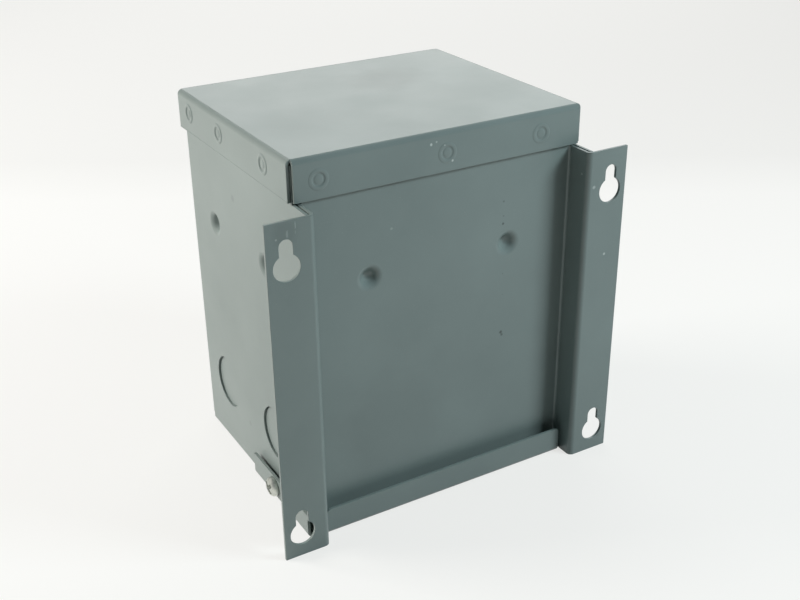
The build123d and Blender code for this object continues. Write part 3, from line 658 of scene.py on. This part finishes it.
class TRANSFORMER_OT_case(Operator):
    """Four enamelled sheets with eased edges"""
    bl_idname = "transformer.case"
    bl_label = "Folded Case"

    def eased_sheet(self, name, node_name, ease):
        """Copy of a CAD sheet with its faces joined, its cut edges eased and its flat faces shaded flat.

        Vertices that touch no broad face are inside a dent and keep their smooth normals.
        """
        mesh = frame["nodes"][node_name].data.copy()
        mesh.materials.clear()
        work = bmesh.new()
        work.from_mesh(mesh)
        bmesh.ops.remove_doubles(work, verts=work.verts, dist=JOIN_WITHIN * MM)
        flatness = math.radians(FLAT_WITHIN)
        bmesh.ops.dissolve_limit(work, angle_limit=flatness, verts=work.verts, edges=work.edges)
        work.verts.index_update()
        broad = []
        for vertex in work.verts:
            if max((face.calc_area() for face in vertex.link_faces), default=0.0) > DENT_FACET * MM * MM:
                broad.append(vertex.index)
        work.to_mesh(mesh)
        work.free()
        mesh.shade_smooth()
        draft = linked(name + "_draft", mesh)
        draft.vertex_groups.new(name="flat").add(broad, 1.0, "REPLACE")
        bevel = draft.modifiers.new("eased_edges", "BEVEL")
        bevel.width = ease
        bevel.segments = 2
        bevel.limit_method = "ANGLE"
        bevel.angle_limit = math.radians(BEVEL_FROM)
        bevel.use_clamp_overlap = False
        bevel.miter_outer = "MITER_ARC"
        flat = draft.modifiers.new("flat_faces", "WEIGHTED_NORMAL")
        flat.weight = 100
        flat.vertex_group = "flat"
        flat.keep_sharp = True
        eased = settled(draft)
        eased.name = name
        bpy.data.objects.remove(draft)
        low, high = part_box(node_name)
        for vertex in eased.vertices:
            for axis in range(3):
                vertex.co[axis] = min(max(vertex.co[axis], low[axis]), high[axis])
        return plain_piece(name, eased, "grey_enamel", node_name)

    def execute(self, context):
        ease = context.scene.transformer_case.edge_ease
        self.eased_sheet("enamelled_lid", "top_lid", ease)
        self.eased_sheet("enamelled_case_wrap", "case_wrap", ease)
        self.eased_sheet("enamelled_rear_panel", "rear_panel", ease)
        self.eased_sheet("enamelled_wiring_cover", "wiring_cover", ease)
        return {"FINISHED"}


class TRANSFORMER_OT_welds(Operator):
    """Spot welds in the lid's skirts, and the bead of paint along them"""
    bl_idname = "transformer.welds"
    bl_label = "Spot Welds"

    def paint_bead(self, radius):
        """The bead that wet paint leaves along the lower edge of the side skirts."""
        tree, given = new_tree("paint_bead", ["Radius"])
        path = put(tree, "GeometryNodeMeshToCurve", {"Mesh": given["Geometry"]})[0]
        close_tree(tree, tube_of(tree, path, ring_of(tree, 12, given["Radius"])), finish_for("grey_enamel"))
        # The bead's middle lies inside the skirt's face, so that only its round front stands out
        sunk = 0.6 * radius
        verts = []
        for ends in SKIRT_EDGES:
            for (x, y, z), step in zip(ends, (radius, -radius)):
                verts.append((x * MM - math.copysign(sunk, x), y * MM + step, z * MM + radius))
        mesh = bpy.data.meshes.new("skirt_edges")
        mesh.from_pydata(verts, [(0, 1), (2, 3)], [])
        piece = node_grown("skirt_paint_bead", tree, mesh, {"Radius": radius}, "grey_enamel")
        piece.data.set_sharp_from_angle(angle=math.radians(50))

    def ring_tree(self):
        """A flattened ring round a button, set on each point."""
        tree, given = new_tree("spot_weld_rings", ("Radius", "Bead", "Flatten", "Sink", "Button"))
        ring = tube_of(tree, ring_of(tree, 48, given["Radius"]), ring_of(tree, 24, given["Bead"]), False)
        squeezed = {
            "Geometry": ring, "Scale": vector_of(tree, 1.0, 1.0, given["Flatten"]),
            "Translation": vector_of(tree, z=calc(tree, "MULTIPLY", given["Sink"], -1.0))}
        ring = put(tree, "GeometryNodeTransform", squeezed)[0]
        button = {"Segments": 32, "Rings": 16, "Radius": given["Button"]}
        ball = put(tree, "GeometryNodeMeshUVSphere", button)[0]
        # The button stands in the weld's dish, so it starts lower than the ring and is no higher
        deeper = calc(tree, "MULTIPLY", given["Sink"], -BUTTON_SINK)
        lowered = {
            "Geometry": ball, "Scale": (1.0, 1.0, BUTTON_FLATNESS),
            "Translation": vector_of(tree, z=deeper)}
        mark = joined(tree, ring, put(tree, "GeometryNodeTransform", lowered)[0])
        facing = facing_of(tree)
        across = put(tree, "ShaderNodeSeparateXYZ", {"Vector": facing})[0]
        height = calc(tree, "MAXIMUM", calc(tree, "ABSOLUTE", across), REAR_WELD_HEIGHT)
        marks = turned_copies(tree, given["Geometry"], mark, facing, vector_of(tree, 1.0, 1.0, height))
        close_tree(tree, marks, finish_for("grey_enamel"))
        return tree

    def execute(self, context):
        sizes = context.scene.transformer_case
        facings = outward(LID_SIDE_WELDS) + [(0, 1, 0)] * len(LID_REAR_WELDS)
        mesh = places_mesh("weld_places", LID_SIDE_WELDS + LID_REAR_WELDS, facings)
        values = {
            "Radius": sizes.weld_radius, "Bead": sizes.weld_bead, "Sink": sizes.weld_sink,
            "Button": sizes.button_radius, "Flatten": (sizes.weld_rise + sizes.weld_sink) / sizes.weld_bead}
        piece = node_grown("spot_weld_marks", self.ring_tree(), mesh, values, "grey_enamel")
        piece.data.shade_smooth()
        self.paint_bead(sizes.paint_bead)
        return {"FINISHED"}


class TRANSFORMER_OT_cover_screws(Operator):
    """Pan-head cover screws with a cross recess and a rolled thread"""
    bl_idname = "transformer.cover_screws"
    bl_label = "Cover Screws"

    def mesh_of(self, name, work):
        """The bmesh as a mesh with its faces turned outward."""
        bmesh.ops.recalc_face_normals(work, faces=work.faces)
        mesh = bpy.data.meshes.new(name)
        work.to_mesh(mesh)
        work.free()
        return mesh

    def screw_mesh(self, sizes):
        """One screw, its head on the XY plane and its point down."""
        radius, pitch, length = sizes.thread_radius, sizes.thread_pitch, sizes.length
        neck, root, point = 0.86 * radius, 0.8 * radius, 0.45 * radius
        first_thread, last_thread, taper = -0.6 * MM, 1.5 * MM - length, 0.8 * MM - length
        profile = [(out * sizes.head_radius, up * sizes.head_height) for out, up in HEAD_PROFILE]
        profile.append((neck, 0.0))
        z = first_thread
        while z > last_thread:
            profile += [(root, z), (radius, z - 0.35 * pitch), (root, z - 0.7 * pitch)]
            z -= pitch
        profile += [(point, taper), (0.0, -length)]
        work = bmesh.new()
        verts = [work.verts.new((out, 0, up)) for out, up in profile]
        edges = [work.edges.new(pair) for pair in zip(verts, verts[1:])]
        bmesh.ops.spin(
            work, geom=verts + edges, cent=(0, 0, 0), axis=(0, 0, 1), angle=math.tau, steps=48,
            use_merge=True)
        bmesh.ops.remove_doubles(work, verts=work.verts, dist=0.003 * MM)
        return self.mesh_of("cover_screw", work)

    def cross_mesh(self, sizes):
        """Cross-shaped punch with tapered arms, wider at the head's face."""
        arm, half = RECESS_ARM * sizes.head_radius, RECESS_HALF * sizes.head_radius
        outline = [(arm, -half), (arm, half), (half, half), (half, arm), (-half, arm), (-half, half)]
        outline += [(-arm, half), (-arm, -half), (-half, -half), (-half, -arm), (half, -arm), (half, -half)]
        above = sizes.head_height + 0.5 * MM
        floor = sizes.head_height * (1 - RECESS_DEEP)
        work = bmesh.new()
        top = [work.verts.new((x, y, above)) for x, y in outline]
        low = [work.verts.new((x * RECESS_TAPER, y * RECESS_TAPER, floor)) for x, y in outline]
        work.faces.new(top)
        work.faces.new(low[::-1])
        for i in range(len(outline)):
            j = (i + 1) % len(outline)
            work.faces.new((top[j], top[i], low[i], low[j]))
        return self.mesh_of("cross_punch", work)

    def execute(self, context):
        sizes = context.scene.transformer_screw
        screw = linked("screw_blank", self.screw_mesh(sizes))
        punch = linked("cross_punch", self.cross_mesh(sizes))
        punch.rotation_euler.z = math.radians(45)
        cut = screw.modifiers.new("recess", "BOOLEAN")
        cut.operation = "DIFFERENCE"
        cut.object = punch
        cut.solver = "EXACT"
        context.view_layer.update()
        punched = settled(screw)
        bpy.data.objects.remove(punch)
        screw.modifiers.clear()
        screw.data = punched
        tree, given = new_tree("cover_screw_pair", Screw="Object")
        body = put(tree, "GeometryNodeObjectInfo", {"Object": given["Screw"]})["Geometry"]
        pair = turned_copies(tree, given["Geometry"], body, facing_of(tree))
        close_tree(tree, pair, finish_for("zinc_plated_steel"))
        mesh = places_mesh("screw_places", COVER_SCREWS, outward(COVER_SCREWS))
        values = {"Screw": screw}
        piece = node_grown("cover_screw_pair", tree, mesh, values, "zinc_plated_steel", "cover_screws")
        bpy.data.objects.remove(screw)
        piece.data.set_sharp_from_angle(angle=math.radians(40))
        return {"FINISHED"}


class TRANSFORMER_OT_core(Operator):
    """Lamination stacks, clamps, bolts and sleeves"""
    bl_idname = "transformer.core"
    bl_label = "Core"

    def outline_mesh(self, name, corners, holes, radius):
        """Edges of a sheet's outline and its bolt holes on the XY plane."""
        loops = [corners]
        for x, y in holes:
            turns = [math.tau * i / 16 for i in range(16)]
            loops.append([(x + radius * math.cos(t), y + radius * math.sin(t)) for t in turns])
        verts, edges = [], []
        for points in loops:
            first = len(verts)
            verts += [(x, y, 0) for x, y in points]
            edges += [(first + i, first + (i + 1) % len(points)) for i in range(len(points))]
        mesh = bpy.data.meshes.new(name)
        mesh.from_pydata(verts, edges, [])
        return mesh

    def stack_tree(self):
        """Outline to sheet to stack: the sheets stand on XZ, one after another from the rear forward."""
        tree, given = new_tree("lamination_stack", ("Thickness", "Pitch", "Rear"), Sheets="Int")
        rim = put(tree, "GeometryNodeMeshToCurve", {"Mesh": given["Geometry"]})[0]
        flat = put(tree, "GeometryNodeFillCurve", {"Curve": rim})[0]
        raised = {"Mesh": flat, "Offset Scale": given["Thickness"], "Individual": False}
        top = put(tree, "GeometryNodeExtrudeMesh", raised, mode="FACES")[0]
        under = put(tree, "GeometryNodeFlipFaces", {"Mesh": flat})[0]
        closed = {"Geometry": joined(tree, top, under), "Distance": 0.01 * MM}
        sheet = put(tree, "GeometryNodeMergeByDistance", closed)[0]
        steps = {"Count": given["Sheets"], "Offset": vector_of(tree, z=given["Pitch"])}
        line = put(tree, "GeometryNodeMeshLine", steps)[0]
        sheets = put(tree, "GeometryNodeInstanceOnPoints", {"Points": line, "Instance": sheet})[0]
        # A quarter turn about X takes the outline's Y to Z, and the stack then grows towards -Y
        stood = {
            "Geometry": sheets, "Translation": vector_of(tree, y=given["Rear"]),
            "Rotation": (math.radians(90), 0, 0)}
        close_tree(tree, put(tree, "GeometryNodeTransform", stood)[0], finish_for("electrical_steel"))
        return tree

    def execute(self, context):
        sizes = context.scene.transformer_core
        tree = self.stack_tree()
        for name, node_name in (("e_sheets", "e_laminations"), ("i_sheets", "i_laminations")):
            low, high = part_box(node_name)
            x, bottom, top = high[0], low[2], high[2]
            yoke = x / 3
            corners = [(-x, bottom), (x, bottom), (x, top), (-x, top)]
            hole_z = (bottom + top) / 2
            if node_name == "e_laminations":
                floor = bottom + yoke
                corners = [(-x, bottom), (x, bottom), (x, top), (x - yoke, top), (x - yoke, floor)]
                corners += [(yoke, floor), (yoke, top), (-yoke, top), (-yoke, floor)]
                corners += [(yoke - x, floor), (yoke - x, top), (-x, top)]
                hole_z = bottom + yoke / 2
            holes = [(side * (x - yoke / 2), hole_z) for side in (1, -1)]
            mesh = self.outline_mesh(name, corners, holes, sizes.bolt_hole_radius)
            deep = high[1] - low[1]
            count = round(deep / sizes.sheet_pitch)
            thickness = deep / count - sizes.sheet_gap
            values = {
                "Sheets": count, "Thickness": thickness, "Pitch": (deep - thickness) / (count - 1),
                "Rear": high[1]}
            node_grown(name, tree, mesh, values, "electrical_steel", node_name)
        for height in ("upper", "lower"):
            paint_nodes([f"core_clamp_{height}_front", f"core_clamp_{height}_rear"])
        paint_nodes(["core_bolts", "core_nuts", "core_washers", "bolt_sleeves"])
        return {"FINISHED"}


class TRANSFORMER_OT_coil(Operator):
    """Former, wound wire and insulation"""
    bl_idname = "transformer.coil"
    bl_label = "Coil"

    def rounded_loop(self, tree, width, depth, radius):
        """A rectangle with rounded corners, 16 points round."""
        sides = {"Width": width, "Height": depth}
        square = put(tree, "GeometryNodeCurvePrimitiveQuadrilateral", sides)[0]
        rounded = {"Curve": square, "Count": 3, "Radius": radius, "Limit Radius": True}
        return put(tree, "GeometryNodeFilletCurve", rounded, mode="POLY")[0]

    def winding_tree(self):
        """One wire, turn beside turn and layer over layer, up one layer and down the next."""
        names = ("Inner Width", "Inner Depth", "Inner Corner", "Build", "Height", "Wire")
        tree, given = new_tree("wound_wire", names, Turns="Int", Layers="Int", Middle="Vector")
        twice = calc(tree, "MULTIPLY", given["Build"], 2.0)
        wide = calc(tree, "ADD", given["Inner Width"], twice)
        deep = calc(tree, "ADD", given["Inner Depth"], twice)
        corner = calc(tree, "ADD", given["Inner Corner"], given["Build"])
        inner = self.rounded_loop(tree, given["Inner Width"], given["Inner Depth"], given["Inner Corner"])
        outer = self.rounded_loop(tree, wide, deep, corner)
        index = put(tree, "GeometryNodeInputIndex", {})[0]
        counted = put(tree, "GeometryNodeAttributeDomainSize", {"Geometry": inner}, component="CURVE")
        around = counted["Point Count"]
        place = calc(tree, "MODULO", index, around)
        round_number = calc(tree, "DIVIDE", index, around)
        # The last turn's end stays in the last layer
        last_layer = calc(tree, "SUBTRACT", given["Layers"], 0.001)
        layer = calc(tree, "MINIMUM", calc(tree, "DIVIDE", round_number, given["Turns"]), last_layer)
        layer = calc(tree, "FLOOR", layer)
        climbed = calc(tree, "SUBTRACT", round_number, calc(tree, "MULTIPLY", layer, given["Turns"]))
        climbed = calc(tree, "DIVIDE", climbed, given["Turns"])
        odd = calc(tree, "MODULO", layer, 2.0)
        back = calc(tree, "SUBTRACT", 1.0, climbed)
        share = put(tree, "ShaderNodeMix", {0: odd, 2: climbed, 3: back}, data_type="FLOAT")[0]
        reach = calc(tree, "SUBTRACT", given["Height"], given["Wire"])
        rise = calc(tree, "MULTIPLY", calc(tree, "SUBTRACT", share, 0.5), reach)
        depth = calc(tree, "DIVIDE", calc(tree, "ADD", layer, 0.5), given["Layers"])
        ends = []
        for loop in (inner, outer):
            where = put(tree, "GeometryNodeInputPosition", {})[0]
            sampled = {"Geometry": loop, "Value": where, "Index": place}
            ends.append(put(tree, "GeometryNodeSampleIndex", sampled, data_type="FLOAT_VECTOR")[0])
        between = {"data_type": "VECTOR", "factor_mode": "UNIFORM"}
        flat = put(tree, "ShaderNodeMix", {0: depth, 4: ends[0], 5: ends[1]}, **between)[1]
        lift = vector_of(tree, z=rise)
        raised = put(tree, "ShaderNodeVectorMath", {0: flat, 1: lift}, operation="ADD")[0]
        placed = put(tree, "ShaderNodeVectorMath", {0: raised, 1: given["Middle"]}, operation="ADD")[0]
        rounds = calc(tree, "MULTIPLY", given["Turns"], given["Layers"])
        count = calc(tree, "MULTIPLY", rounds, around)
        line = put(tree, "GeometryNodeMeshLine", {"Count": count})[0]
        wound = put(tree, "GeometryNodeSetPosition", {"Geometry": line, "Position": placed})[0]
        path = put(tree, "GeometryNodeMeshToCurve", {"Mesh": wound})[0]
        section = ring_of(tree, 6, calc(tree, "MULTIPLY", given["Wire"], 0.5))
        close_tree(tree, tube_of(tree, path, section), finish_for("enamelled_copper"))
        return tree

    def execute(self, context):
        sizes = context.scene.transformer_coil
        tree = self.winding_tree()
        sides = (
            ("primary", sizes.primary_layers, sizes.primary_build),
            ("secondary", sizes.secondary_layers, sizes.secondary_build))
        for side, layers, build in sides:
            for which in ("inner", "outer"):
                node_name = f"{side}_winding_{which}"
                low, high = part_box(node_name)
                width, deep, tall = (high[axis] - low[axis] for axis in range(3))
                inset = (width - 2 * build - sizes.leg_width) / 2
                wire = build / layers
                values = {
                    "Inner Width": width - 2 * build, "Inner Depth": deep - 2 * build,
                    "Inner Corner": inset + sizes.corner_ease, "Build": build, "Height": tall,
                    "Wire": wire * sizes.wire_share, "Turns": int(tall / wire) - 1, "Layers": layers,
                    "Middle": [(low[axis] + high[axis]) / 2 for axis in range(3)]}
                name = f"{side}_wire_{which}"
                seed = bpy.data.meshes.new(name)
                piece = node_grown(name, tree, seed, values, "enamelled_copper", node_name)
                piece.data.shade_smooth()
        paint_nodes(["coil_former", "primary_insulation", "winding_barrier", "secondary_insulation"])
        paint_nodes(["coil_outer_wrap"])
        return {"FINISHED"}


class TRANSFORMER_OT_terminals(Operator):
    """Leads, terminal boards, studs and the earth lug"""
    bl_idname = "transformer.terminals"
    bl_label = "Terminals"

    def execute(self, context):
        for side in ("primary", "secondary"):
            paint_nodes([f"{side}_leads", f"{side}_terminal_board"])
        paint_nodes(["terminal_studs", "terminal_washers", "terminal_nuts", "terminal_links"])
        paint_nodes(["board_screws", "earth_screw", "earth_lug"])
        return {"FINISHED"}


class TRANSFORMER_OT_potting(Operator):
    """Floor pan and cast compound"""
    bl_idname = "transformer.potting"
    bl_label = "Potting"

    def execute(self, context):
        paint_nodes(["floor_pan", "potting_compound"])
        return {"FINISHED"}


MAKERS = (
    TRANSFORMER_OT_stage, TRANSFORMER_OT_case, TRANSFORMER_OT_welds, TRANSFORMER_OT_cover_screws,
    TRANSFORMER_OT_core, TRANSFORMER_OT_coil, TRANSFORMER_OT_terminals, TRANSFORMER_OT_potting,
)

SETTINGS = {
    "transformer_case": CaseSizes,
    "transformer_enamel": EnamelLook,
    "transformer_screw": ScrewSizes,
    "transformer_core": CoreSizes,
    "transformer_coil": CoilSizes,
    "transformer_stage": StageLook,
}


class TRANSFORMER_PT_panel(Panel):
    """Every maker with its sizes and looks"""
    bl_label = "Transformer"
    bl_idname = "TRANSFORMER_PT_panel"
    bl_space_type = "VIEW_3D"
    bl_region_type = "UI"
    bl_category = "Transformer"

    def draw(self, context):
        for maker in MAKERS:
            self.layout.operator(maker.bl_idname)
        for attribute, group in SETTINGS.items():
            box = self.layout.box()
            for name in group.__annotations__:
                box.prop(getattr(context.scene, attribute), name)


CLASSES = (*SETTINGS.values(), *MAKERS, TRANSFORMER_PT_panel)


def register():
    for cls in CLASSES:
        bpy.utils.register_class(cls)
    for attribute, group in SETTINGS.items():
        setattr(bpy.types.Scene, attribute, PointerProperty(type=group))


def unregister():
    for attribute in SETTINGS:
        delattr(bpy.types.Scene, attribute)
    for cls in reversed(CLASSES):
        bpy.utils.unregister_class(cls)


def make_transformer():
    """Makes the stage and every piece."""
    register()
    bpy.ops.transformer.stage()
    bpy.ops.transformer.case()
    bpy.ops.transformer.welds()
    bpy.ops.transformer.cover_screws()
    bpy.ops.transformer.core()
    bpy.ops.transformer.coil()
    bpy.ops.transformer.terminals()
    bpy.ops.transformer.potting()


if __name__ == "__main__":
    make_transformer()
